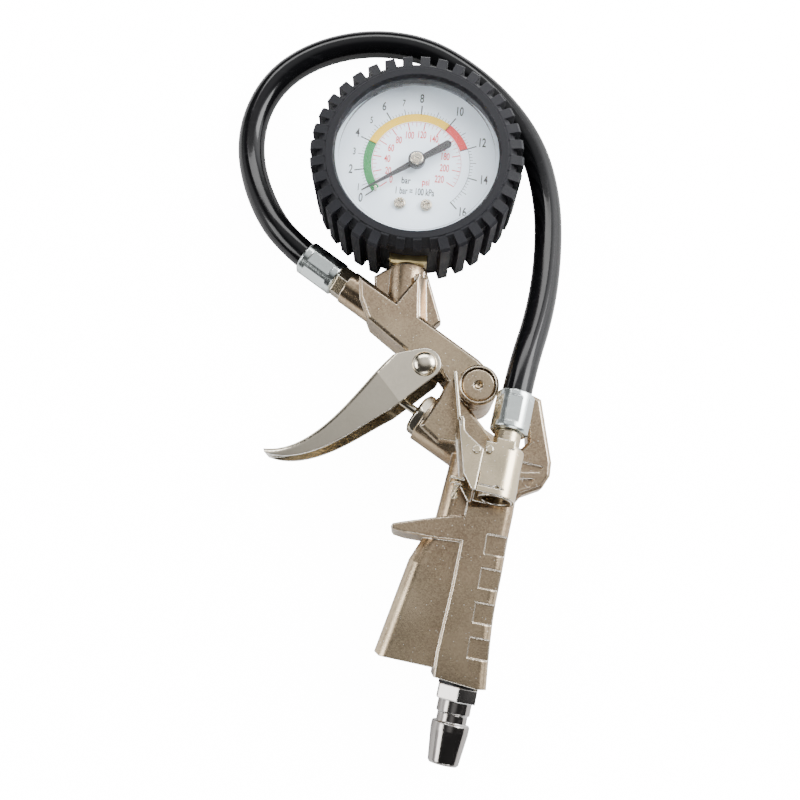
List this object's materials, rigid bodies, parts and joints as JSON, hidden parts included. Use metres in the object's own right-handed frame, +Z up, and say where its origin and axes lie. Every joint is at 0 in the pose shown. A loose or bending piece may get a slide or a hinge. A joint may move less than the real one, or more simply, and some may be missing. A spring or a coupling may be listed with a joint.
{
  "type": "tyre inflator",
  "caption": "Hand-held tyre inflator: trigger-operated air valve, dial pressure gauge in a rubber boot, bleed button, rubber hose with a clip-on chuck, and a quick-connect inlet plug.",
  "frame": {"origin": "bottom centre of the box of the inflator without its hose and chuck, on the surface it lies on", "axes": "+Z up, the way the gauge faces; +Y from the inlet plug towards the gauge; +X towards the rear hook"},
  "size_m": [0.1149, 0.257, 0.0432],
  "materials": {
    "casting": "satin nickel-plated die casting, slightly bronze",
    "chrome": "polished",
    "plug_steel": "polished, dark",
    "zinc": "bright zinc plate",
    "chuck_nickel": "satin nickel plate",
    "brass": "dull plated brass",
    "spring_steel": "drawn wire",
    "boot_rubber": "matt moulded",
    "hose_rubber": "glossy",
    "seal_rubber": "matt",
    "case_paint": "black",
    "dial_white": "matt white print",
    "pointer_black": "black",
    "lens": "clear, bevelled edge"
  },
  "bodies": {
    "inflator": {"body_casting": "casting", "inlet_plug": "plug_steel", "inlet_plug_seal": "seal_rubber", "valve_gland": "chrome", "valve_stem_oring": "seal_rubber", "valve_seat_ring": "brass", "valve_spring": "spring_steel", "lever_rivet": "chrome", "bleed_guide": "brass", "bleed_spring": "spring_steel", "bleed_stem_oring": "seal_rubber", "gauge_boot": "boot_rubber", "gauge_case": "case_paint", "gauge_lens": "lens", "gauge_dial": "dial_white", "gauge_dial_screws": "zinc", "gauge_stop_pin": "zinc", "gauge_stem_block": "brass", "bourdon_tube": "brass", "movement_back_plate": "brass", "movement_pillars": "brass", "movement_front_plate": "brass", "tip_link": "brass", "hose_front_fitting": "chuck_nickel", "hose_front_ferrule": "zinc", "hose_rear_ferrule": "zinc", "hose": "hose_rubber", "chuck_body": "chuck_nickel", "chuck_seal": "seal_rubber", "chuck_depressor": "brass", "chuck_cover": "chuck_nickel", "chuck_cover_stud": "chuck_nickel", "chuck_lever_pin": "chrome", "chuck_lever_spring": "spring_steel"},
    "trigger": {"trigger_lever": "chrome"},
    "valve_stem": {"valve_push_rod": "chrome", "valve_poppet": "brass", "valve_poppet_face": "seal_rubber"},
    "bleed": {"bleed_button": "casting"},
    "pointer": {"gauge_pointer": "pointer_black", "pointer_hub_cap": "brass", "pinion_arbor": "brass"},
    "sector": {"sector_gear": "brass"},
    "chuck_clip": {"chuck_lever": "chuck_nickel", "chuck_jaw_pin": "chuck_nickel"}
  },
  "joints": [
    {"name": "trigger_hinge", "type": "hinge", "parent": "inflator", "child": "trigger", "pos_m": [0.006, 0.00914, 0.013], "axis": [0, 0, 1], "range_deg": [0, 18], "stiffness_Nm_per_rad": 0.6, "springref_deg": -11.46},
    {"name": "valve_slide", "type": "slide", "parent": "inflator", "child": "valve_stem", "axis": [0.809, -0.5878, 0], "range_m": [0, 0.0041], "deforming": ["valve_spring"]},
    {"name": "bleed_slide", "type": "slide", "parent": "inflator", "child": "bleed", "axis": [0, 0, -1], "range_m": [0, 0.0022], "stiffness_N_per_m": 400, "springref_m": -0.003, "deforming": ["bleed_spring"]},
    {"name": "sector_swing", "type": "hinge", "parent": "inflator", "child": "sector", "pos_m": [0.00248, 0.06669, 0.015], "axis": [0, 0, 1], "range_deg": [0, 44], "stiffness_Nm_per_rad": 0.0005, "springref_deg": -2.86},
    {"name": "pointer_spin", "type": "hinge", "parent": "inflator", "child": "pointer", "pos_m": [0.0037, 0.08063, 0.018], "axis": [0, 0, -1], "range_deg": [0, 264.5]},
    {"name": "chuck_clip_hinge", "type": "hinge", "parent": "inflator", "child": "chuck_clip", "pos_m": [0.02084, -0.02291, 0.03406], "axis": [-0.0363, -0.1522, -0.9877], "range_deg": [0, 15], "stiffness_Nm_per_rad": 0.3, "springref_deg": -8.59, "deforming": ["chuck_lever_spring"]}
  ],
  "couplings": [
    {"joint": "valve_slide", "follows": "trigger_hinge", "m_per_rad": 0.0128},
    {"joint": "pointer_spin", "follows": "sector_swing", "ratio": 6}
  ]
}
